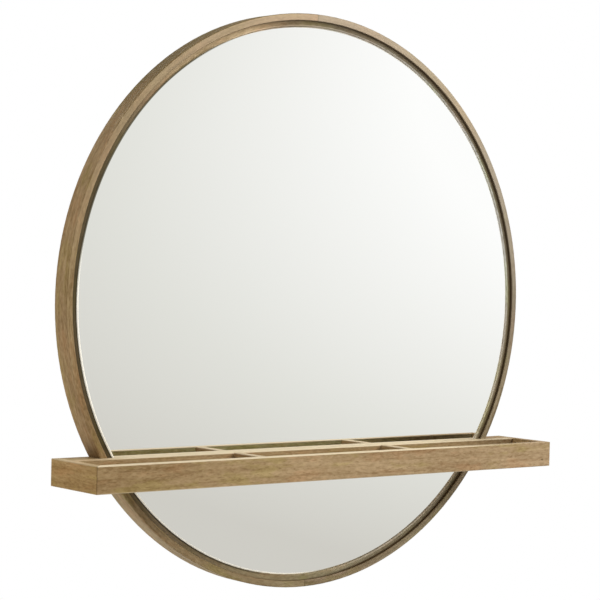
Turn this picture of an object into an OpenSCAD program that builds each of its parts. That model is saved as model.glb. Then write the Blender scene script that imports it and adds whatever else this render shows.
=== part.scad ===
// Round wall mirror in a bent wooden hoop, with a straight three-bay tray
// housed round the lower part of the hoop.
// X runs to the right seen from the front, Y from the front towards the wall, Z up.
// The origin is midway between the two hanging keyholes, in the plane of the wall.

/* [Hoop] */
// Outside diameter of the hoop
hoop_d = 762; // [750:2:790]
// Thickness of the bent strip, measured along the radius
hoop_t = 9; // [9:0.5:12]
// Depth of the strip from front to back
hoop_depth = 28; // [24:0.5:30]
// Width of the eased corners of every outside edge
ease = 0.8; // [0.3:0.1:0.8]

/* [Mirror] */
// Width of the board's rim that shows between the hoop and the glass
rim_w = 7.5; // [5:0.5:14]
// Step from the front of the hoop back to the rim
rim_drop = 3; // [2:0.5:4]
// Step from the rim back to the front of the glass
glass_drop = 1.5; // [0.5:0.1:2]
// Thickness of the glass
glass_t = 3; // [2:0.5:4]
// Thickness of the board that carries the glass
board_t = 12; // [11:0.5:13]
// Width of the polished arris round the glass
arris_w = 1.5; // [0.5:0.1:3]

/* [Tray] */
// Length of the tray, end to end
tray_l = 762; // [750:2:800]
// Height of the tray
tray_h = 34; // [30:1:50]
// How far the tray stands out in front of the hoop
tray_reach = 76; // [50:1:120]
// Thickness of the tray's boards
stock_t = 12; // [10:0.5:15]
// Top of the tray below the centre of the hoop
tray_drop = 195.5; // [170:0.5:215]
// Thickness of the tray's floor
floor_t = 5; // [3:0.5:6]
// Distance between the centres of the two dividers
divider_pitch = 250; // [120:5:500]

/* [Hanging] */
// Height of the keyholes above the centre of the hoop
hang_rise = 230; // [180:1:240]
// Distance between the two keyholes
hang_pitch = 406.4; // [300:0.1:410]
// Diameter of the keyhole's round entry
entry_d = 9; // [8:0.5:10]
// Width of the keyhole's slot
slot_w = 4.5; // [4:0.1:5]
// Thickness of the wall bumpers and of the keyhole plates
standoff = 2; // [1.5:0.1:3]

/* [Hidden] */

round_fn = 240;
small_fn = 32;
slack = 1;                                  // overshoot of cutting shapes

// Colours
wood = [0.62, 0.50, 0.35];
wood_light = [0.70, 0.57, 0.41];
raw_wood = [0.80, 0.68, 0.50];
silver = [0.86, 0.87, 0.86];
steel = [0.70, 0.71, 0.72];
pad_grey = [0.35, 0.35, 0.36];

// Hoop and mirror, radii from the hoop's centre and depths from the wall
hoop_r = hoop_d / 2;
inner_r = hoop_r - hoop_t;
hoop_z = -hang_rise;
hoop_back = -standoff;
hoop_front = hoop_back - hoop_depth;
board_front = hoop_front + rim_drop;
board_back = board_front + board_t;
recess_r = inner_r - rim_w;
glass_r = recess_r - 0.3;
glass_front = board_front + glass_drop;
glass_back = glass_front + glass_t;
tape_t = 1;
recess_floor = glass_back + tape_t;
arris_depth = 0.8;
rim_ease = 1;

// Strips of mounting tape behind the glass
tape_w = 25;
tape_step = 40;
tape_places = [-240, -120, 0, 120, 240];

// Tongue round the board and groove round the hoop
tongue_l = 3;
tongue_t = 6;
tongue_front = (board_front + board_back - tongue_t) / 2;
tongue_back = tongue_front + tongue_t;

// Loose tongues in the hoop's two joints: length, width and thickness
hoop_spline = [20, 16, 3];
hoop_spline_r = inner_r + 4.5;

// Tray
tray_front = hoop_front - tray_reach;
tray_back = hoop_back;
tray_depth = tray_back - tray_front;
tray_top = hoop_z - tray_drop;
tray_bottom = tray_top - tray_h;
tray_mid = (tray_top + tray_bottom) / 2;
half_l = tray_l / 2;
inside_x = half_l - stock_t;                // inner face of an end board
rail_inner = tray_front + stock_t;          // inner face of the front rail
strip_front = hoop_front - stock_t;         // front face of the back rail
lip_gap = 0.3;                              // room round the back rail's thicker middle
groove_d = 4;
dado_d = 3;
floor_lift = 4;
floor_top = tray_bottom + floor_lift + floor_t;
divider_x = divider_pitch / 2;
inner_ease = 0.5;                           // easing of the edges round the bays
block_x = sqrt(pow(hoop_r, 2) - pow(tray_drop + tray_h, 2)) - 2;

// Keys in the tray's mitred corners, thickness, width and height
mitre_key = [3, 10, 24];

// Dowels through the joints of the end boards
dowel_r = 3;
dowel_l = 25;
dowel_in_end = 8;

// Battens behind the board. The hangers bridge the gap between the upper two.
hang_rail_l = 460;
hang_rail_h = 30;
hang_gap = [-8, 18];
hang_rail_screws = [-222, -75, 75, 222];
shelf_batten_screws = [-240, -90, 90, 240];
batten_r = inner_r - 0.3;

// Countersunk screws
shank_r = 1.75;
head_r = 3.2;
head_lip = 0.25;
head_h = head_lip + head_r - shank_r;
tip_l = 3;
cross_w = 0.9;
cross_l = 3.6;
cross_d = 1.3;
rail_screw_l = hoop_back - recess_floor - 0.5;
strap_screw_l = 10;
hoop_screw_l = hoop_depth + 10;

// Hangers
keyhole_plate = [20, 52];
keyhole_plate_low = -21;
plate_corners = [3, 3, 3, 3];
slot_rise = 10;
keyhole_screw_z = [-15, 25];

// Steel straps over the hoop: length, height and thickness
strap = [84, 14, 1.5];
strap_holes = [-34, -14, 14, 34];
hoop_mid_r = inner_r + hoop_t / 2;
strap_x = sqrt(pow(hoop_mid_r, 2) - pow(tray_drop + tray_h / 2, 2));

// Long screws through the hoop into the back rail, above the straps
hoop_screw_r = inner_r + 4.9;
hoop_screw_drop = tray_drop + tray_h / 2 - 11.5;
hoop_screw_x = sqrt(pow(hoop_screw_r, 2) - pow(hoop_screw_drop, 2));

// Wall bumpers
bumper_r = 8;
bumper_x = 200;

// ---------------------------------------------------------------- helpers

// Turns a profile of (radius, depth) points round the hoop's axis.
module turned(points, from = 0, sweep = 360) {
    translate([0, 0, hoop_z])
        rotate([-90, 0, 0])
            rotate([0, 0, from])
                rotate_extrude(angle = sweep, $fn = round_fn)
                    polygon(points);
}

// A disc about the hoop's axis between two depths.
module disc(r, front, back) {
    translate([0, front, hoop_z])
        rotate([-90, 0, 0])
            cylinder(r = r, h = back - front, $fn = round_fn);
}

// A box between two corners.
module block(low, high) {
    translate(low)
        cube(high - low);
}

// A rectangle between two corners, with named corners cut at 45 degrees.
// cuts gives the easing of the low-low, high-low, high-high and low-high corners.
module eased_rect(low, high, cuts) {
    polygon([
        [low.x + cuts[0], low.y], [high.x - cuts[1], low.y],
        [high.x, low.y + cuts[1]], [high.x, high.y - cuts[2]],
        [high.x - cuts[2], high.y], [low.x + cuts[3], high.y],
        [low.x, high.y - cuts[3]], [low.x, low.y + cuts[0]]
    ]);
}

// A bar along X with a section drawn in Y and Z.
module bar_x(half, low, high, cuts) {
    translate([-half, 0, 0])
        rotate([90, 0, 90])
            linear_extrude(2 * half)
                eased_rect(low, high, cuts);
}

module both_sides() {
    children();
    mirror([1, 0, 0])
        children();
}

// A countersunk screw, its head flush with y = 0 and its point towards the front.
module screw_form(len) {
    rotate([-90, 0, 0])
        rotate_extrude($fn = small_fn)
            polygon([
                [0, 0], [head_r, 0], [head_r, -head_lip], [shank_r, -head_h],
                [shank_r, -len + tip_l], [0.3, -len], [0, -len]
            ]);
}

module screw(len) {
    difference() {
        screw_form(len);
        for (turn = [0, 90])
            rotate([0, turn, 0])
                translate([-cross_l / 2, -cross_d, -cross_w / 2])
                    cube([cross_l, cross_d + slack, cross_w]);
    }
}

// ------------------------------------------------------------------- hoop

// Half of the bent strip: an upright rectangle with a groove for the board.
module half_hoop(from) {
    turned([
        [inner_r, hoop_front + ease], [inner_r + ease, hoop_front],
        [hoop_r - ease, hoop_front], [hoop_r, hoop_front + ease],
        [hoop_r, hoop_back - ease], [hoop_r - ease, hoop_back],
        [inner_r, hoop_back],
        [inner_r, tongue_back], [inner_r + tongue_l, tongue_back],
        [inner_r + tongue_l, tongue_front], [inner_r, tongue_front]
    ], from, 180);
}

module hoop_spline_forms() {
    for (side = [-1, 1])
        translate([
            -hoop_spline.x / 2,
            (hoop_front + hoop_back - hoop_spline.y) / 2,
            hoop_z + side * hoop_spline_r + (side > 0 ? 0 : -hoop_spline.z)
        ])
            cube(hoop_spline);
}

module at_hoop_screws() {
    for (side = [-1, 1])
        translate([side * hoop_screw_x, hoop_back, hoop_z - hoop_screw_drop])
            children();
}

module hoop_half(from) {
    color(wood)
        difference() {
            half_hoop(from);
            hoop_spline_forms();
            at_hoop_screws()
                screw_form(hoop_screw_l);
        }
}

module hoop_left() hoop_half(90);
module hoop_right() hoop_half(-90);

module hoop_splines() {
    color(raw_wood)
        hoop_spline_forms();
}

module hoop_screws() {
    color(steel)
        at_hoop_screws()
            screw(hoop_screw_l);
}

// ----------------------------------------------------------------- mirror

module at_rail_screws() {
    for (x = hang_rail_screws)
        for (z = [hang_gap[0] - hang_rail_h / 2, hang_gap[1] + hang_rail_h / 2])
            translate([x, hoop_back, z])
                children();
    for (x = shelf_batten_screws)
        translate([x, hoop_back, tray_mid])
            children();
}

// The board: a disc with a recess for the glass and a tongue round its edge.
module mirror_board() {
    color(wood)
        difference() {
            turned([
                [0, board_back], [inner_r, board_back], [inner_r, tongue_back],
                [inner_r + tongue_l, tongue_back], [inner_r + tongue_l, tongue_front],
                [inner_r, tongue_front], [inner_r, board_front],
                [recess_r + rim_ease, board_front], [recess_r, board_front + rim_ease],
                [recess_r, recess_floor], [0, recess_floor]
            ]);
            at_rail_screws()
                screw_form(rail_screw_l);
        }
}

// Half the length of the strip at x, a whole number of steps that clears the edge.
function tape_reach(x) =
    tape_step * floor(sqrt(pow(glass_r - tape_step, 2) - x * x) / tape_step);

module mirror_tape() {
    color(pad_grey)
        for (x = tape_places)
            block([x - tape_w / 2, glass_back, hoop_z - tape_reach(x)],
                [x + tape_w / 2, recess_floor, hoop_z + tape_reach(x)]);
}

module mirror_glass() {
    color(silver)
        turned([
            [0, glass_front], [glass_r - arris_w, glass_front],
            [glass_r, glass_front + arris_depth], [glass_r, glass_back], [0, glass_back]
        ]);
}

// ------------------------------------------------------------------- tray

module floor_form() {
    block([-inside_x - groove_d, rail_inner - groove_d, floor_top - floor_t],
        [inside_x + groove_d, strip_front + groove_d, floor_top]);
}

// The right-hand divider, which also cuts its two dadoes.
module divider_form() {
    translate([0, strip_front + dado_d, 0])
        rotate([90, 0, 0])
            linear_extrude(strip_front - rail_inner + 2 * dado_d)
                eased_rect([divider_x - stock_t / 2, floor_top],
                    [divider_x + stock_t / 2, tray_top],
                    [0, 0, inner_ease, inner_ease]);
}

// The key stands upright across the mitre, square to it.
module mitre_key_form() {
    translate([half_l - stock_t / 2, tray_front + stock_t / 2, tray_mid])
        rotate([0, 0, 45])
            cube([mitre_key.y, mitre_key.x, mitre_key.z], center = true);
}

module dowel_forms() {
    for (place = [
        [(hoop_front + tray_back) / 2, tray_mid - 8],
        [(hoop_front + tray_back) / 2, tray_mid + 8],
        [(strip_front + hoop_front) / 2, tray_mid]
    ])
        translate([inside_x + dowel_in_end - dowel_l, place[0], place[1]])
            rotate([0, 90, 0])
                cylinder(r = dowel_r, h = dowel_l, $fn = small_fn);
}

module at_strap_screws() {
    for (offset = strap_holes)
        translate([strap_x + offset, hoop_back + strap.z, tray_mid])
            children();
}

module front_rail() {
    color(wood)
        difference() {
            intersection() {
                bar_x(half_l, [tray_front, tray_bottom], [rail_inner, tray_top],
                    [ease, 0, inner_ease, ease]);
                translate([0, 0, tray_bottom])
                    linear_extrude(tray_h)
                        polygon([
                            [-half_l + ease / 2, tray_front + ease / 2],
                            [-half_l + ease, tray_front], [half_l - ease, tray_front],
                            [half_l - ease / 2, tray_front + ease / 2],
                            [inside_x, rail_inner], [-inside_x, rail_inner]
                        ]);
            }
            floor_form();
            both_sides() {
                divider_form();
                mitre_key_form();
            }
        }
}

// The right-hand end board, its front end mitred to the front rail.
module end_board() {
    difference() {
        intersection() {
            translate([0, tray_back, 0])
                rotate([90, 0, 0])
                    linear_extrude(tray_depth)
                        eased_rect([inside_x, tray_bottom], [half_l, tray_top],
                            [0, ease, ease, inner_ease]);
            translate([0, 0, tray_bottom])
                linear_extrude(tray_h)
                    polygon([
                        [inside_x, rail_inner],
                        [half_l - ease / 2, tray_front + ease / 2],
                        [half_l, tray_front + ease],
                        [half_l, tray_back - ease], [half_l - ease, tray_back],
                        [inside_x, tray_back]
                    ]);
        }
        floor_form();
        mitre_key_form();
        dowel_forms();
    }
}

module end_right() {
    color(wood)
        end_board();
}

module end_left() {
    color(wood)
        mirror([1, 0, 0])
            end_board();
}

module mitre_splines() {
    color(raw_wood)
        both_sides()
            mitre_key_form();
}

// The strip that crosses in front of the glass and rests on the hoop's face.
// Between the two sides of the hoop it is thicker, and reaches back to the glass.
module back_rail() {
    color(wood)
        difference() {
            bar_x(inside_x, [strip_front, tray_bottom], [glass_front - lip_gap, tray_top],
                [0, 0, 0, inner_ease]);
            turned([
                [recess_r - lip_gap, glass_front],
                [recess_r - lip_gap, board_front - lip_gap],
                [inner_r - lip_gap, board_front - lip_gap],
                [inner_r - lip_gap, hoop_front], [tray_l, hoop_front],
                [tray_l, glass_front]
            ]);
            floor_form();
            both_sides() {
                divider_form();
                dowel_forms();
            }
            at_hoop_screws()
                screw_form(hoop_screw_l);
        }
}

// The right-hand return block, hollowed to the hoop's outside.
module return_block() {
    difference() {
        translate([block_x, 0, 0])
            rotate([90, 0, 90])
                linear_extrude(inside_x - block_x)
                    eased_rect([hoop_front, tray_bottom], [tray_back, tray_top],
                        [0, ease, ease, 0]);
        disc(hoop_r, hoop_front - slack, tray_back + slack);
        dowel_forms();
        at_strap_screws()
            screw_form(strap_screw_l);
    }
}

module return_block_right() {
    color(wood)
        return_block();
}

module return_block_left() {
    color(wood)
        mirror([1, 0, 0])
            return_block();
}

module end_dowels() {
    color(raw_wood)
        both_sides()
            dowel_forms();
}

module divider_right() {
    color(wood_light)
        divider_form();
}

module divider_left() {
    color(wood_light)
        mirror([1, 0, 0])
            divider_form();
}

module bottom_panel() {
    color(wood_light)
        floor_form();
}

// ------------------------------------------------------------------- back

module at_hangers() {
    for (side = [-1, 1])
        translate([side * hang_pitch / 2, 0, 0])
            children();
}

module at_keyhole_screws() {
    at_hangers()
        for (z = keyhole_screw_z)
            translate([0, 0, z])
                children();
}

// One of the two battens that carry the hangers, with its lower edge at low.
module hanging_rail(low) {
    color(raw_wood)
        difference() {
            block([-hang_rail_l / 2, board_back, low],
                [hang_rail_l / 2, hoop_back, low + hang_rail_h]);
            at_keyhole_screws()
                screw_form(strap_screw_l);
            at_rail_screws()
                screw_form(rail_screw_l);
        }
}

module hanging_rail_upper() hanging_rail(hang_gap[1]);
module hanging_rail_lower() hanging_rail(hang_gap[0] - hang_rail_h);

module shelf_batten() {
    color(raw_wood)
        difference() {
            intersection() {
                block([-hoop_r, board_back, tray_bottom], [hoop_r, hoop_back, tray_top]);
                disc(batten_r, board_back - slack, hoop_back + slack);
            }
            at_rail_screws()
                screw_form(rail_screw_l);
            both_sides()
                at_strap_screws()
                    screw_form(strap_screw_l);
        }
}

module rail_screws() {
    color(steel)
        at_rail_screws()
            screw(rail_screw_l);
}

// Two hangers: a round entry for the head of a wall screw, and a slot above it.
module keyhole_plates() {
    color(steel)
        difference() {
            at_hangers()
                rotate([90, 0, 0])
                    linear_extrude(standoff)
                        eased_rect([-keyhole_plate.x / 2, keyhole_plate_low],
                            [keyhole_plate.x / 2, keyhole_plate_low + keyhole_plate.y],
                            plate_corners);
            at_hangers() {
                translate([0, hoop_back - slack, 0])
                    rotate([-90, 0, 0])
                        cylinder(d = entry_d, h = standoff + 2 * slack, $fn = small_fn);
                translate([0, hoop_back - slack, slot_rise])
                    rotate([-90, 0, 0])
                        cylinder(d = slot_w, h = standoff + 2 * slack, $fn = small_fn);
                block([-slot_w / 2, hoop_back - slack, 0],
                    [slot_w / 2, slack, slot_rise]);
            }
            at_keyhole_screws()
                screw_form(strap_screw_l);
        }
}

module keyhole_screws() {
    color(steel)
        at_keyhole_screws()
            screw(strap_screw_l);
}

// Flat straps from the batten, over the hoop, to the return blocks.
module shelf_plates() {
    color(steel)
        both_sides()
            difference() {
                block([strap_x - strap.x / 2, hoop_back, tray_mid - strap.y / 2],
                    [strap_x + strap.x / 2, hoop_back + strap.z, tray_mid + strap.y / 2]);
                at_strap_screws()
                    screw_form(strap_screw_l);
            }
}

module shelf_plate_screws() {
    color(steel)
        both_sides()
            at_strap_screws()
                screw(strap_screw_l);
}

module wall_bumpers() {
    color(pad_grey)
        for (side = [-1, 1])
            translate([side * bumper_x, hoop_back, tray_mid])
                rotate([-90, 0, 0])
                    cylinder(r = bumper_r, h = standoff, $fn = small_fn);
}

hoop_left();
hoop_right();
hoop_splines();
mirror_board();
mirror_tape();
mirror_glass();
front_rail();
end_left();
end_right();
mitre_splines();
back_rail();
return_block_left();
return_block_right();
end_dowels();
divider_left();
divider_right();
bottom_panel();
hanging_rail_upper();
hanging_rail_lower();
shelf_batten();
rail_screws();
keyhole_plates();
keyhole_screws();
shelf_plates();
shelf_plate_screws();
hoop_screws();
wall_bumpers();
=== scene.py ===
"""Looks of the round wall mirror with a tray shelf. Metres, +Z up, +Y towards the wall."""

import math

import bpy
from mathutils import Matrix, Vector


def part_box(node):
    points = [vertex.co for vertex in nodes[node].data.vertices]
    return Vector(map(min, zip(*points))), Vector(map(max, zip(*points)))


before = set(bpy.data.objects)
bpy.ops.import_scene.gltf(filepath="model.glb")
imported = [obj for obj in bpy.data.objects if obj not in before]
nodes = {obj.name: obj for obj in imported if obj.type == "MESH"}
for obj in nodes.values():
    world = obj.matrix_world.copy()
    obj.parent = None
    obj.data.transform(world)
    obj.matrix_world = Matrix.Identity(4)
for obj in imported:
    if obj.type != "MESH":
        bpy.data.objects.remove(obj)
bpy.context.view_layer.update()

# ------------------------------------------------------------------ sizes
HOOP_Z = -0.230                                # height of the hoop's centre
HOOP_R = 0.381                                 # outside radius of the hoop
HOOP_INNER_R = 0.372                           # inside radius of the hoop
GLASS_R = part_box("mirror_glass")[1].x
BOARD_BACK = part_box("mirror_board")[1].y
TRAY_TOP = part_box("front_rail")[1].z
TRAY_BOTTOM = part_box("front_rail")[0].z
TRAY_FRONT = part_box("front_rail")[0].y
TRAY_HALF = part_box("end_right")[1].x

# Each pair gives the two places between which one surface passes into the next.
HOOP_CORNER = HOOP_R - 0.0010, HOOP_R - 0.0004             # front edge to outer side, radii
HOOP_INSIDE = HOOP_INNER_R + 0.0004, HOOP_INNER_R + 0.0001     # front edge to inner face
TOP_EDGE = TRAY_TOP - 0.0012, TRAY_TOP - 0.0005            # tray's sides to its upper faces
FOOT_EDGE = TRAY_BOTTOM + 0.0012, TRAY_BOTTOM + 0.0004     # tray's sides to its underside
RAIL_INSIDE = TRAY_FRONT + 0.0105, TRAY_FRONT + 0.0115     # front rail to its inner face
END_INSIDE = TRAY_HALF - 0.0112, TRAY_HALF - 0.0118        # right-hand end to its inner face
BOARD_REAR = BOARD_BACK - 0.0006, BOARD_BACK - 0.0002      # board to its rear face


# ---------------------------------------------------------- node helpers
def srgb(r, g, b):
    """A colour given as 0-255 screen values, as linear light."""
    def lin(c):
        c /= 255.0
        return c / 12.92 if c <= 0.04045 else ((c + 0.055) / 1.055) ** 2.4
    return (lin(r), lin(g), lin(b), 1.0)


WHITE = (1.0, 1.0, 1.0, 1.0)
BLACK = (0.0, 0.0, 0.0, 1.0)


class Tree:
    """A small wrapper that makes shader nodes and joins them."""

    def __init__(self, tree):
        self.tree = tree

    def node(self, kind, **values):
        n = self.tree.nodes.new(kind)
        for k, v in values.items():
            setattr(n, k, v)
        return n

    def set(self, socket, value):
        """Joins a socket to the input, or sets the input to a constant."""
        if isinstance(value, bpy.types.NodeSocket):
            self.tree.links.new(value, socket)
        else:
            socket.default_value = value

    def math(self, op, a, b=0.0):
        n = self.node("ShaderNodeMath", operation=op)
        for socket, value in zip(n.inputs, (a, b)):
            self.set(socket, value)
        return n.outputs[0]

    def times(self, a, b):
        return self.math("MULTIPLY", a, b)

    def total(self, *terms):
        """The sum of (value, weight) pairs."""
        result = None
        for value, weight in terms:
            part = self.times(value, weight)
            result = part if result is None else self.math("ADD", result, part)
        return result

    def step(self, value, low, high, to_low=0.0, to_high=1.0, curve="SMOOTHSTEP"):
        """Smooth step: to_low below low, to_high above high."""
        n = self.node("ShaderNodeMapRange", interpolation_type=curve)
        for name, v in (("Value", value), ("From Min", low), ("From Max", high),
                        ("To Min", to_low), ("To Max", to_high)):
            self.set(n.inputs[name], v)
        return n.outputs["Result"]

    def level(self, value, low, high, to_low, to_high):
        """The same with a straight slope between the two ends."""
        return self.step(value, low, high, to_low, to_high, "LINEAR")

    def mix(self, fac, a, b, blend="MIX"):
        n = self.node("ShaderNodeMix", data_type="RGBA", blend_type=blend)
        self.set(n.inputs["Factor"], fac)
        first, second = [s for s in n.inputs if s.type == "RGBA"]
        self.set(first, a)
        self.set(second, b)
        return [s for s in n.outputs if s.type == "RGBA"][0]

    def mix_shaders(self, fac, first, second):
        n = self.node("ShaderNodeMixShader")
        for socket, value in zip(n.inputs, (fac, first, second)):
            self.set(socket, value)
        return n.outputs[0]

    def ramp(self, fac, stops):
        n = self.node("ShaderNodeValToRGB")
        self.set(n.inputs["Fac"], fac)
        e = n.color_ramp.elements
        while len(e) < len(stops):
            e.new(0.5)
        for item, (pos, col) in zip(e, stops):
            item.position = pos
            item.color = col
        return n.outputs["Color"]

    def vector(self, x, y, z):
        n = self.node("ShaderNodeCombineXYZ")
        for socket, value in zip(n.inputs, (x, y, z)):
            self.set(socket, value)
        return n.outputs[0]

    def scaled(self, vec, scale):
        n = self.node("ShaderNodeVectorMath", operation="MULTIPLY")
        self.set(n.inputs[0], vec)
        self.set(n.inputs[1], scale)
        return n.outputs[0]

    def noise(self, vec, scale, detail=3.0, rough=0.5):
        """Noise of a stretched space: scale is the number of features in a metre, each way."""
        n = self.node("ShaderNodeTexNoise")
        self.set(n.inputs["Vector"], self.scaled(vec, scale))
        for name, v in (("Scale", 1.0), ("Detail", detail), ("Roughness", rough)):
            self.set(n.inputs[name], v)
        return n.outputs["Fac"]

    def bump(self, height, distance, strength):
        n = self.node("ShaderNodeBump")
        self.set(n.inputs["Height"], height)
        n.inputs["Distance"].default_value = distance
        n.inputs["Strength"].default_value = strength
        return n.outputs[0]

    def place(self):
        """Object coordinates, in metres, as a vector and as x, y, z."""
        pos = self.node("ShaderNodeTexCoord").outputs["Object"]
        sep = self.node("ShaderNodeSeparateXYZ")
        self.set(sep.inputs[0], pos)
        return pos, tuple(sep.outputs)

    def radius(self, x, z):
        """Distance from the hoop's axis."""
        up = self.math("SUBTRACT", z, HOOP_Z)
        return self.math("SQRT", self.total((self.times(x, x), 1.0), (self.times(up, up), 1.0)))

    def towards(self, x, z, across, up):
        """How far a place lies from the hoop's axis in the direction (across, up)."""
        return self.total((x, across), (self.math("SUBTRACT", z, HOOP_Z), up))

    def stretch(self, x, z, middle, full, none, r):
        """A mask of one stretch of a ring of radius r: 1 within the angle full of the angle
        middle and 0 beyond the angle none, in degrees, counted from the right over the top."""
        middle, full, none = (math.radians(v) for v in (middle, full, none))
        return self.step(self.towards(x, z, math.cos(middle), math.sin(middle)),
                         r * math.cos(none), r * math.cos(full))

    def tinted(self, mask, colour, factors):
        """The colour, times the factors where the mask is 1."""
        return self.mix(mask, colour, self.mix(1.0, colour, factors + (1.0,), "MULTIPLY"))


def new_material(name):
    m = bpy.data.materials.new(name)
    m.use_nodes = True
    return m, Tree(m.node_tree), m.node_tree.nodes["Principled BSDF"]


def dress(material, *names):
    for name in names:
        slots = nodes[name].data.materials
        slots.clear()
        slots.append(material)


# ------------------------------------------------------------------- wood
# The grain's noises: features in a metre along the grain, and both ways across it.
FIGURE = 5.0, 34.0, 34.0
STREAK = 9.0, 220.0, 220.0
FLECK = 140.0, 420.0, 420.0
PORE = 240.0, 1100.0, 1100.0
PATCH = 14.0, 60.0, 60.0
MARK = 120.0, 560.0, 560.0
TONE_STOPS = 0.36, 0.50, 0.64                  # where the dark, middle and light tones lie

# The values of a noise between which a trait sets in, and its strength at both.
RED_PATCH = 0.52, 0.66, 0.0, 0.9
OLIVE_PATCH = 0.48, 0.34, 0.0, 0.9
DARK_MARK = 0.60, 0.72, 0.0, 0.55
DARK_PORE = 0.62, 0.74, 0.0, 0.25

REDDER = (1.07, 0.98, 0.95)
MORE_OLIVE = (0.95, 1.00, 0.80)
GRAIN_DEPTH, GRAIN_STRENGTH = 0.00025, 0.6
WOOD_SHEEN = 0.2


def grain_space(t, along, x, y, z):
    """Coordinates whose first one runs with the grain. along is "x" or "y", or "round" for
    the hoop and the board's rim, whose grain is bent round with them."""
    if along == "round":
        angle = t.math("ARCTAN2", t.math("SUBTRACT", z, HOOP_Z), t.math("ABSOLUTE", x))
        return t.vector(t.times(angle, HOOP_R), t.radius(x, z), y)
    return t.vector(x, y, z) if along == "x" else t.vector(y, x, z)


def wood(name, along, tones, seed, details=(), rough=0.6):
    """Washed wood: tones are its light, middle and dark colour, and seed moves its grain.
    Each of details is a function that gives the colour back with one more trait."""
    light, mid, dark = tones
    m, t, shader = new_material(name)
    _, (x, y, z) = t.place()
    move = t.node("ShaderNodeVectorMath", operation="ADD")
    t.set(move.inputs[0], grain_space(t, along, x, y, z))
    move.inputs[1].default_value = (seed, seed * 0.37, seed * 0.71)
    space = move.outputs[0]
    figure = t.noise(space, FIGURE, 2.0)
    streak = t.noise(space, STREAK, 3.0, 0.55)
    fleck = t.noise(space, FLECK, 2.0)
    pore = t.noise(space, PORE, 1.0)
    tone = t.total((figure, 0.27), (streak, 0.31), (fleck, 0.34), (pore, 0.08))
    colour = t.ramp(tone, list(zip(TONE_STOPS, (dark, mid, light))))
    # Some stretches are redder and some more olive.
    patch = t.noise(space, PATCH, 3.0, 0.6)
    colour = t.tinted(t.step(patch, *RED_PATCH), colour, REDDER)
    colour = t.tinted(t.step(patch, *OLIVE_PATCH), colour, MORE_OLIVE)
    # Short dark marks, and finer pores.
    marks = t.step(t.noise(space, MARK, 1.0), *DARK_MARK)
    colour = t.mix(marks, colour, dark)
    colour = t.mix(t.step(pore, *DARK_PORE), colour, dark)
    for detail in details:
        colour = detail(t, x, y, z, colour)
    t.set(shader.inputs["Base Color"], colour)
    t.set(shader.inputs["Roughness"], t.step(streak, 0.3, 0.7, rough + 0.08, rough - 0.06))
    shader.inputs["Specular IOR Level"].default_value = WOOD_SHEEN
    height = t.total((streak, 0.5), (pore, -0.6), (marks, -0.5))
    t.set(shader.inputs["Normal"], t.bump(height, GRAIN_DEPTH, GRAIN_STRENGTH))
    return m


# Every trait below takes the tree, the place as x, y, z and the colour so far, and gives the
# new colour. Those with settings of their own return such a function.
WEAR_AND_HIGHLIGHT = srgb(232, 215, 181)                     # painted highlight of the tray's lit upper faces and edges, partly wood rubbed pale
JOINT_AND_SHADE = srgb(70, 52, 28)                       # the dark line of a joint, also painted shade in the hoop's step and the rim's corner
FACE_LIGHT = srgb(206, 188, 160)                     # painted light on the hoop's front edge, paler upwards
BARE = srgb(208, 182, 144)                     # wood without finish

# The distances from its middle between which a dark line or spot sets in, and its strength.
MITRE_LINE = 0.0013, 0.0004, 0.0, 0.35
HOOP_LINE = 0.0007, 0.0002, 0.0, 0.5
KNOT_SPOT = 0.0030, 0.0010, 0.0, 0.6
KNOT_X, KNOT_Z = 0.3655, -0.4500               # near the front rail's right-hand end


# The places along x between which the painted highlight and wear pass into that of the tray's
# two ends.
TOP_LIGHT_LEFT, TOP_LIGHT_RIGHT = (-0.27, -0.36), (0.18, 0.34)


def wear_and_highlight(amount, at_left=1.0, at_right=1.0, slant=0.0):
    """The upper faces and edges of the tray's boards are painted pale: a painted highlight
    where light falls on them, partly wear. At the two ends it is at_left and at_right times as
    much as elsewhere. With a slant, the right-hand end of it fades first along the inner edge."""
    def detail(t, x, y, z, colour):
        mask = t.math("MAXIMUM", t.step(z, *TOP_EDGE, 0.0, amount),
                      t.step(z, *FOOT_EDGE, 0.0, 0.4 * amount))
        along = t.total((x, 1.0), (t.math("SUBTRACT", y, TRAY_FRONT), slant))
        ends = t.times(t.step(x, *TOP_LIGHT_LEFT, 1.0, at_left),
                       t.step(along, *TOP_LIGHT_RIGHT, 1.0, at_right))
        return t.mix(t.times(mask, ends), colour, WEAR_AND_HIGHLIGHT)
    return detail


def yellower_left(t, x, y, z, colour):
    """The front rail is a little yellower at the left and greyer at the right."""
    tone = t.mix(t.level(x, -TRAY_HALF, TRAY_HALF, 0.0, 1.0),
                 (0.97, 0.94, 0.88, 1.0), (1.01, 1.01, 1.10, 1.0))
    return t.mix(1.0, colour, tone, "MULTIPLY")


def olive_inside_light_shade(t, x, y, z, colour):
    """The inner face of the front rail is olive, with painted light towards its left and
    painted shade, dark towards its right-hand end.
    """
    inside = t.times(t.step(y, *RAIL_INSIDE), t.step(z, *reversed(TOP_EDGE)))
    tone = t.mix(t.step(x, 0.05, 0.28), (1.34, 1.84, 1.84, 1.0), (0.44, 0.50, 0.46, 1.0))
    return t.mix(inside, colour, t.mix(1.0, colour, tone, "MULTIPLY"))


def painted_shade_right(t, x, y, z, colour):
    """The back of the tray's inside has painted light at the left and painted shade, darker
    towards the right, most of all in the corner.
    """
    shade = t.times(t.level(x, -0.30, 0.20, 1.18, 1.00), t.step(x, 0.24, 0.36, 1.0, 0.62))
    return t.mix(1.0, colour, t.vector(shade, shade, shade), "MULTIPLY")


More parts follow.
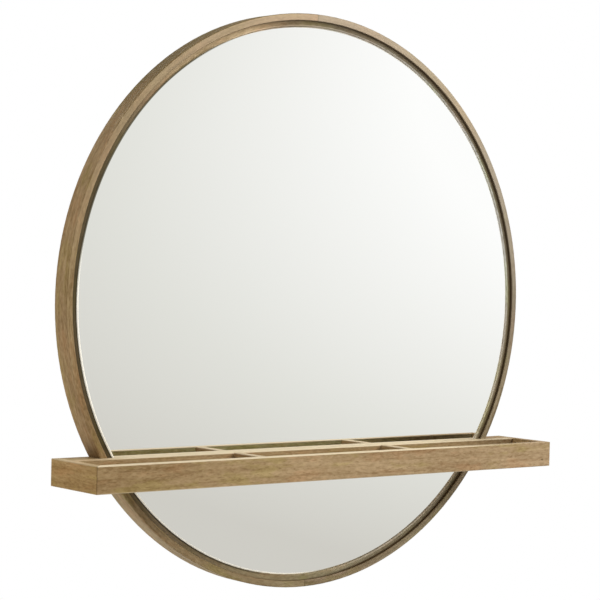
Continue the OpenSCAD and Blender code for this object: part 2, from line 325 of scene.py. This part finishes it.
def painted_light_inside(t, x, y, z, colour):
    """The inner face of the right-hand end is painted paler than the rest of it: painted light.
    """
    inside = t.times(t.step(x, *END_INSIDE), t.step(z, *reversed(TOP_EDGE)))
    return t.tinted(inside, colour, (1.60, 1.70, 1.75))


def mitre_line(t, x, y, z, colour):
    """The thin dark line where an end board meets the front rail."""
    off = t.math("ADD", t.math("SUBTRACT", t.math("ABSOLUTE", x), TRAY_HALF),
                 t.math("SUBTRACT", y, TRAY_FRONT))
    return t.mix(t.step(t.math("ABSOLUTE", off), *MITRE_LINE), colour, JOINT_AND_SHADE)


def knot(t, x, y, z, colour):
    """A small dark knot, longer along the grain than across it."""
    away = t.math("SQRT", t.total(
        (t.math("POWER", t.math("SUBTRACT", x, KNOT_X), 2.0), 1.0),
        (t.math("POWER", t.math("SUBTRACT", z, KNOT_Z), 2.0), 2.4)))
    return t.mix(t.step(away, *KNOT_SPOT), colour, JOINT_AND_SHADE)


def painted_light_face(low, high, amount):
    """The hoop's front edge is painted paler from the height low up to high: painted light,
    stronger higher up.
    """
    def detail(t, x, y, z, colour):
        face = t.step(t.radius(x, z), *reversed(HOOP_CORNER))
        mask = t.times(t.step(z, low, high, 0.0, amount), face)
        return t.mix(mask, colour, t.mix(0.5, colour, FACE_LIGHT))
    return detail


def face_light_and_shade(stretches):
    """The hoop's front edge is painted lighter or darker in stretches, as painted light and
    shade with
    some shift of hue: each stretch has its middle, how far from it the tint is full and where
    it ends, all in degrees, and the tint."""
    def detail(t, x, y, z, colour):
        face = t.step(t.radius(x, z), *reversed(HOOP_CORNER))
        for middle, full, none, factors in stretches:
            mask = t.stretch(x, z, middle, full, none, HOOP_R)
            colour = t.tinted(t.times(mask, face), colour, factors)
        return colour
    return detail


def painted_shade_top(t, x, y, z, colour):
    """The outer side of the hoop is painted darker near the top: painted shade."""
    side = t.step(t.radius(x, z), *HOOP_CORNER)
    high = t.step(z, HOOP_Z + 0.17, HOOP_Z + 0.32)
    return t.tinted(t.times(high, side), colour, (0.60, 0.62, 0.50))


def tray_shadow_below(t, x, y, z, colour):
    """The hoop is painted greyer below the tray: the tray's painted shadow."""
    below = t.step(z, TRAY_BOTTOM + 0.01, TRAY_BOTTOM - 0.02)
    return t.tinted(below, colour, (0.86, 0.92, 0.97))


def step_shade_inside(t, x, y, z, colour):
    """The hoop's inner face, where it meets the board, is painted dark: painted shade in the
    step.
    """
    return t.mix(t.step(t.radius(x, z), *HOOP_INSIDE, 0.0, 0.85), colour, JOINT_AND_SHADE)


def hoop_joint(t, x, y, z, colour):
    """The thin dark line where the hoop's halves meet."""
    return t.mix(t.step(t.math("ABSOLUTE", x), *HOOP_LINE), colour, JOINT_AND_SHADE)


def rim_light_and_shade(t, x, y, z, colour):
    """The board's rim is painted with light and shade: painted shade at the left, painted light
    at the upper left and the foot, and greyish at the right."""
    upper = t.step(z, HOOP_Z - 0.05, HOOP_Z + 0.05)
    lower = t.step(z, HOOP_Z - 0.04, HOOP_Z - 0.14)
    left = t.step(t.total((x, 1.0), (upper, 0.03)), -0.256, -0.312)
    right = t.step(x, -0.05, 0.08)
    lit_upper_left = t.times(t.step(t.math("ABSOLUTE", t.math("ADD", x, 0.17)), 0.13, 0.05), upper)
    foot = t.times(t.step(t.math("ABSOLUTE", t.math("ADD", x, 0.03)), 0.16, 0.06),
                   t.step(z, HOOP_Z - 0.25, HOOP_Z - 0.33))
    # Along the glass the rim has painted shade, darker on the left, further round at the foot
    # than at the top, and its eased edge has a painted highlight on the right, further round at
    # the top.
    r = t.radius(x, z)
    shaded_edge = t.times(t.step(r, GLASS_R + 0.0030, GLASS_R + 0.0014),
                        t.step(t.total((x, 1.0), (upper, 0.09)), -0.02, -0.13))
    deepest_shade = t.times(shaded_edge, t.stretch(x, z, -120, 16, 30, GLASS_R))
    lit_edge = t.times(t.step(r, GLASS_R + 0.0022, GLASS_R + 0.0012),
                        t.step(t.total((x, 1.0), (upper, 0.20)), 0.0, 0.24))
    brightest_lit_edge = t.times(lit_edge, t.stretch(x, z, 30, 20, 38, GLASS_R))
    for mask, factors in ((shaded_edge, (0.45, 0.45, 0.42)), (deepest_shade, (0.45, 0.45, 0.40)),
                          (left, (0.46, 0.46, 0.41)), (lit_upper_left, (2.30, 2.30, 2.35)),
                          (foot, (1.55, 1.65, 1.65)), (right, (0.95, 1.06, 1.22)),
                          (lit_edge, (2.60, 2.75, 3.40)), (brightest_lit_edge, (1.28, 1.38, 1.52)),
                          (t.times(right, lower), (1.18, 1.18, 1.15)),
                          (t.times(right, upper), (0.88, 0.90, 0.92))):
        colour = t.tinted(mask, colour, factors)
    return colour


# Widths of the painted shade on the rim against the hoop, at the sides and at the foot.
STEP_SHADOW_WIDTH, STEP_SHADOW_WIDTH_FOOT = 0.0062, 0.0034


def step_shadow(t, x, y, z, colour):
    """Painted shade on the board's rim, in the corner against the hoop: most at the right, and
    little at the bottom, where it hardly shows left of the middle."""
    bottom = t.step(z, HOOP_Z - 0.22, HOOP_Z - 0.31)
    amount = t.total((t.step(x, -0.10, 0.26, 0.25, 0.88), t.math("SUBTRACT", 1.0, bottom)),
                     (t.step(x, -0.04, 0.12, 0.0, 0.95), bottom))
    width = t.level(bottom, 0.0, 1.0, STEP_SHADOW_WIDTH, STEP_SHADOW_WIDTH_FOOT)
    inwards = t.math("SUBTRACT", HOOP_INNER_R, t.radius(x, z))
    return t.mix(t.times(t.step(inwards, width, 0.0006), amount), colour, JOINT_AND_SHADE)


def bare_back(t, x, y, z, colour):
    """Only the board's rim is finished: its back is bare wood."""
    return t.mix(t.step(y, *BOARD_REAR, 0.0, 0.8), colour, BARE)


# The light, middle and dark colour of each wood.
TRAY_TONES = srgb(184, 158, 119), srgb(162, 137, 99), srgb(132, 105, 69)
LEFT_END_TONES = srgb(175, 144, 97), srgb(154, 124, 78), srgb(124, 94, 52)
BLOCK_TONES = srgb(168, 142, 104), srgb(146, 120, 83), srgb(117, 91, 56)
# The dividers' tones are lighter than the tray's: painted light on their shaded sides.
DIVIDER_LIT_TONES = srgb(198, 168, 124), srgb(177, 147, 104), srgb(144, 113, 72)
INNER_TONES = srgb(176, 148, 112), srgb(150, 121, 86), srgb(118, 90, 58)
LEFT_TONES = srgb(176, 149, 109), srgb(153, 126, 88), srgb(122, 96, 60)
RIGHT_TONES = srgb(160, 145, 117), srgb(139, 124, 98), srgb(110, 95, 69)
# The rim's tones are darker than the hoop's: painted shade of the step it lies in.
RIM_SHADED_TONES = srgb(146, 128, 100), srgb(127, 110, 83), srgb(103, 87, 61)
RAW_TONES = srgb(222, 196, 158), srgb(208, 180, 140), srgb(184, 152, 112)

# Stretches of the hoop's front edge painted lighter or darker as light and shade: middle, full
# and end of the tint in degrees, and the tint.
LEFT_FACE_LIGHTING = (
    (90, 14, 24, (1.15, 1.14, 1.20)),
    (136, 8, 20, (0.88, 0.89, 0.85)),
    (181, 8, 20, (1.09, 1.15, 1.21)),
    (-90, 10, 25, (0.93, 0.97, 1.02)),
)
RIGHT_FACE_LIGHTING = (
    (90, 18, 36, (1.15, 1.14, 1.19)),
    (12, 16, 34, (0.88, 0.91, 1.00)),
    (-90, 14, 24, (1.16, 1.09, 1.13)),
)

rail_wood = wood("rail_wood", "x", TRAY_TONES, 0.0,
                 (yellower_left, olive_inside_light_shade, wear_and_highlight(0.95, 1.0, 0.10, 7.0), mitre_line, knot))
back_wood = wood("back_wood", "x", TRAY_TONES, 3.1, (painted_shade_right, wear_and_highlight(0.95, 0.2, 0.5)))
block_wood = wood("block_wood", "x", BLOCK_TONES, 4.4)
left_end_wood = wood("left_end_wood", "y", LEFT_END_TONES, 5.3, (wear_and_highlight(0.30), mitre_line))
right_end_wood = wood("right_end_wood", "y", BLOCK_TONES, 6.1, (painted_light_inside, mitre_line))
divider_wood = wood("divider_wood", "y", DIVIDER_LIT_TONES, 7.7, (wear_and_highlight(0.65),))
floor_wood = wood("floor_wood", "x", INNER_TONES, 9.2)
left_wood = wood("left_wood", "round", LEFT_TONES, 11.6,
                 (painted_light_face(-0.25, 0.10, 0.75), painted_shade_top, tray_shadow_below,
                  face_light_and_shade(LEFT_FACE_LIGHTING), step_shade_inside, hoop_joint))
right_wood = wood("right_wood", "round", RIGHT_TONES, 14.9,
                  (painted_light_face(-0.35, 0.0, 0.8), face_light_and_shade(RIGHT_FACE_LIGHTING), step_shade_inside,
                   hoop_joint))
board_wood = wood("board_wood", "round", RIM_SHADED_TONES, 13.4, (rim_light_and_shade, step_shadow, bare_back))
raw_wood = wood("raw_wood", "x", RAW_TONES, 17.0, rough=0.7)


# -------------------------------------------------------- other materials
# Their noises: features in a metre, each way.
CLOUD = 60.0, 60.0, 60.0
SCRATCH = 120.0, 900.0, 900.0
GRIT = 1500.0, 1500.0, 1500.0
HAZE = 3.0, 3.0, 3.0
ARRIS_GRIT = 900.0, 900.0, 900.0
SPECK = 40.0, 40.0, 40.0


def darkened(colour, factor):
    return tuple(c * factor for c in colour[:3]) + (1.0,)


def metal(name, colour, rough):
    """Brushed metal, a little cloudy."""
    m, t, shader = new_material(name)
    pos, _ = t.place()
    cloud = t.noise(pos, CLOUD)
    scratch = t.noise(pos, SCRATCH, 2.0)
    t.set(shader.inputs["Base Color"], t.mix(cloud, colour, darkened(colour, 0.82)))
    shader.inputs["Metallic"].default_value = 1.0
    t.set(shader.inputs["Roughness"], t.step(scratch, 0.3, 0.7, rough - 0.06, rough + 0.08))
    t.set(shader.inputs["Normal"], t.bump(scratch, 0.00005, 0.4))
    return m


def matt(name, colour):
    """Rubber or foam with a fine grit."""
    m, t, shader = new_material(name)
    pos, _ = t.place()
    grit = t.noise(pos, GRIT, 2.0)
    t.set(shader.inputs["Base Color"], t.mix(grit, colour, darkened(colour, 0.7)))
    shader.inputs["Roughness"].default_value = 0.7
    t.set(shader.inputs["Normal"], t.bump(grit, 0.0001, 0.5))
    return m


HIGHLIGHT_LEFT, HIGHLIGHT_FOOT = 0.0029, 0.0018          # width of the painted highlight along the glass's edge
HIGHLIGHT_WAY = -0.73, -0.68                        # the direction in which its middle lies
HIGHLIGHT_ENDS = 0.55 * GLASS_R, 0.74 * GLASS_R     # how far that way it begins, and is full
HIGHLIGHT_GLOW = (0.24, 0.22, 0.18, 1.0)            # the glow of the painted highlights
SOFT_HIGHLIGHT_WIDTH, SOFT_HIGHLIGHT_STRETCH = (0.0018, 0.0010), (20, 50, 80)      # the soft painted highlight, right
DARK_REFLECTION_WIDTH, DARK_REFLECTION_STRETCH = (0.0018, 0.0012), (148, 20, 38)     # the painted reflection of the dark rim, upper left
DARK_REFLECTION = (0.22, 0.20, 0.15)


def mirror_material():
    """Silvered glass with painted light along its edge: at the lower left a painted highlight
    on its arris as a pale line, at the upper left a painted reflection of the dark rim beside
    it, and at the right a soft painted highlight."""
    m, t, shader = new_material("mirror_silver")
    pos, (x, y, z) = t.place()
    haze = t.noise(pos, HAZE, 2.0)
    silver = t.mix(haze, (0.985, 0.990, 0.985, 1.0), (0.975, 0.980, 0.977, 1.0))
    inwards = t.math("SUBTRACT", GLASS_R, t.radius(x, z))
    # The painted highlight on the arris along the lower left.
    width = t.level(x, -0.33, -0.20, HIGHLIGHT_LEFT, HIGHLIGHT_FOOT)
    line = t.times(t.step(t.math("SUBTRACT", inwards, width), 0.0001, -0.0001),
                   t.step(t.towards(x, z, *HIGHLIGHT_WAY), *HIGHLIGHT_ENDS))
    # A soft painted highlight along the edge at the right.
    soft = t.times(t.step(inwards, *SOFT_HIGHLIGHT_WIDTH, 0.0, 0.6),
                   t.stretch(x, z, *SOFT_HIGHLIGHT_STRETCH, GLASS_R))
    # Where the painted highlights lie, the glass is pale and rough instead of silvered.
    lit = t.math("MAXIMUM", line, soft)
    grit = t.noise(pos, ARRIS_GRIT, 2.0)
    pale = t.mix(grit, srgb(255, 252, 240), srgb(248, 243, 230))
    # A painted dark reflection of the rim along the edge at the upper left.
    dark = t.times(t.step(inwards, *DARK_REFLECTION_WIDTH), t.stretch(x, z, *DARK_REFLECTION_STRETCH, GLASS_R))
    silver = t.tinted(dark, silver, DARK_REFLECTION)
    t.set(shader.inputs["Base Color"], t.mix(lit, silver, pale))
    t.set(shader.inputs["Metallic"], t.math("SUBTRACT", 1.0, lit))
    t.set(shader.inputs["Roughness"], t.step(lit, 0.0, 1.0, 0.012, 0.45))
    # The painted highlights glow a little with light of their own, so they stay pale in the
    # tray's shadow.
    t.set(shader.inputs["Emission Color"], t.mix(lit, BLACK, HIGHLIGHT_GLOW))
    shader.inputs["Emission Strength"].default_value = 1.0
    return m


steel = metal("steel", srgb(196, 198, 200), 0.34)
rubber = matt("rubber", srgb(64, 64, 66))
foam = matt("foam", srgb(232, 232, 226))

dress(left_wood, "hoop_left")
dress(right_wood, "hoop_right")
dress(board_wood, "mirror_board")
dress(mirror_material(), "mirror_glass")
dress(foam, "mirror_tape")
dress(rail_wood, "front_rail")
dress(back_wood, "back_rail")
dress(block_wood, "return_block_left", "return_block_right")
dress(left_end_wood, "end_left")
dress(right_end_wood, "end_right")
dress(divider_wood, "divider_left", "divider_right")
dress(floor_wood, "bottom_panel")
dress(raw_wood, "hanging_rail_upper", "hanging_rail_lower", "shelf_batten", "hoop_splines",
      "mitre_splines", "end_dowels")
dress(steel, "rail_screws", "keyhole_plates", "keyhole_screws", "shelf_plates",
      "shelf_plate_screws", "hoop_screws")
dress(rubber, "wall_bumpers")

# ------------------------------------------------------------------- stage
FLOOR_Z = -1.75            # the mirror hangs with its centre about 1.5 m up
FLOOR_R = 3.0
FLOOR_SIDES = 96
FLOOR_FADE = 0.6, FLOOR_R * 0.97               # distances over which it fades to white


def make_floor():
    """A pale disc below the mirror."""
    mesh = bpy.data.meshes.new("floor")
    turns = [2 * math.pi * i / FLOOR_SIDES for i in range(FLOOR_SIDES)]
    ring = [(FLOOR_R * math.cos(a), FLOOR_R * math.sin(a), FLOOR_Z) for a in turns]
    mesh.from_pydata(ring, [], [list(range(FLOOR_SIDES))])
    obj = bpy.data.objects.new("floor", mesh)
    bpy.context.scene.collection.objects.link(obj)
    m, t, shader = new_material("floor_pale")
    pos, _ = t.place()
    speck = t.noise(pos, SPECK)
    t.set(shader.inputs["Base Color"],
          t.mix(speck, (0.86, 0.86, 0.86, 1.0), (0.82, 0.82, 0.82, 1.0)))
    shader.inputs["Roughness"].default_value = 0.9
    # Seen by the camera or in the mirror it fades outwards to the white of the backdrop.
    path = t.node("ShaderNodeLightPath")
    seen = t.math("MAXIMUM", path.outputs["Is Camera Ray"],
                  t.math("MAXIMUM", path.outputs["Is Glossy Ray"],
                         path.outputs["Is Transmission Ray"]))
    dist = t.node("ShaderNodeVectorMath", operation="LENGTH")
    t.set(dist.inputs[0], t.scaled(pos, (1.0, 1.0, 0.0)))
    fade = t.step(dist.outputs["Value"], *FLOOR_FADE, 0.45, 1.0)
    glow = t.node("ShaderNodeEmission")
    glow.inputs["Color"].default_value = WHITE
    out = next(n for n in m.node_tree.nodes if n.type == "OUTPUT_MATERIAL")
    t.set(out.inputs["Surface"],
          t.mix_shaders(t.times(seen, fade), shader.outputs[0], glow.outputs[0]))
    mesh.materials.append(m)


make_floor()

# ------------------------------------------------------------------ lights
AIM = Vector((0.0, -0.05, -0.25))              # what the lamps point at

# Azimuth (0 in front, 90 at the mirror's right) and elevation in degrees, distance, size, watts
LAMPS = {
    "key": (50, 30, 2.6, 1.6, 68.0),
    "left": (-95, -25, 2.6, 1.3, 22.0),
    "left_high": (-70, 40, 2.6, 1.3, 9.0),
    "low": (35, -25, 2.6, 1.3, 6.0),
    "behind": (180, 25, 2.6, 1.6, 40.0),
}


def softbox(name, azimuth, elevation, distance, size, power):
    """A square area light that the mirror doesn't show."""
    a, e = math.radians(azimuth), math.radians(elevation)
    way = Vector((math.sin(a) * math.cos(e), -math.cos(a) * math.cos(e), math.sin(e)))
    data = bpy.data.lights.new(name, "AREA")
    data.shape = "SQUARE"
    data.size = size
    data.energy = power
    obj = bpy.data.objects.new(name, data)
    obj.location = AIM + way * distance
    obj.rotation_euler = way.to_track_quat("Z", "Y").to_euler()
    obj.visible_glossy = False
    bpy.context.scene.collection.objects.link(obj)


for lamp, values in LAMPS.items():
    softbox(lamp, *values)

FILL = 0.34                # strength of the light from all round
# The colours of the room in the mirror, from dim to light
ROOM = ((0.05, srgb(208, 206, 199)), (0.41, srgb(226, 226, 220)),
        (0.73, srgb(243, 243, 240)), (0.97, srgb(255, 255, 254)))


def make_world():
    """White behind the object, a soft near-white gradient in the mirror, a little fill."""
    world = bpy.data.worlds.new("studio")
    bpy.context.scene.world = world
    world.use_nodes = True
    t = Tree(world.node_tree)
    for n in list(world.node_tree.nodes):
        world.node_tree.nodes.remove(n)

    def background(colour, strength=1.0):
        n = t.node("ShaderNodeBackground")
        t.set(n.inputs["Color"], colour)
        t.set(n.inputs["Strength"], strength)
        return n.outputs[0]

    sep = t.node("ShaderNodeSeparateXYZ")
    t.set(sep.inputs[0], t.node("ShaderNodeTexCoord").outputs["Generated"])
    # The mirror shows a room that grows lighter upwards and to the side, less so near the top.
    # Both are counted in tenths from the middle of what it shows in the first view.
    outwards = t.level(t.math("ABSOLUTE", sep.outputs[0]), 0.525, 0.705, -0.9, 0.9)
    upwards = t.level(sep.outputs[2], -0.17, 0.11, -1.5, 1.3)
    light = t.total((1.0, 0.580), (outwards, 0.350), (upwards, 0.295),
                    (t.times(outwards, upwards), 0.115), (t.times(upwards, upwards), -0.125))
    path = t.node("ShaderNodeLightPath")
    indirect = t.mix_shaders(path.outputs["Is Glossy Ray"], background(WHITE, FILL),
                             background(t.ramp(light, ROOM)))
    direct = t.math("MAXIMUM", path.outputs["Is Camera Ray"],
                    path.outputs["Is Transmission Ray"])
    out = t.node("ShaderNodeOutputWorld")
    t.set(out.inputs["Surface"], t.mix_shaders(direct, indirect, background(WHITE)))


make_world()

# ------------------------------------------------------------------ camera
CAMERA_AT = Vector((-1.69140, -2.13256, -0.16635))
CAMERA_YAW, CAMERA_PITCH, CAMERA_ROLL = 0.671878, -0.0230405, 0.0245873
SENSOR, LENS = 36.0, 121.66                    # mm


def make_camera():
    """The view of the photograph, fitted to the object's outline."""
    data = bpy.data.cameras.new("camera")
    data.sensor_width = SENSOR
    data.sensor_fit = "HORIZONTAL"
    data.lens = LENS
    data.clip_start = 0.01
    data.clip_end = 100.0
    obj = bpy.data.objects.new("camera", data)
    bpy.context.scene.collection.objects.link(obj)
    cy, sy = math.cos(CAMERA_YAW), math.sin(CAMERA_YAW)
    cp, sp = math.cos(CAMERA_PITCH), math.sin(CAMERA_PITCH)
    ahead = Vector((sy * cp, cy * cp, sp))
    right = Vector((cy, -sy, 0.0))
    up = right.cross(ahead)
    c, s = math.cos(CAMERA_ROLL), math.sin(CAMERA_ROLL)
    side, top = right * c + up * s, up * c - right * s
    obj.matrix_world = Matrix.Translation(CAMERA_AT) @ Matrix(
        (side, top, -ahead)).transposed().to_4x4()
    bpy.context.scene.camera = obj


make_camera()

bpy.context.scene.view_settings.view_transform = "Standard"
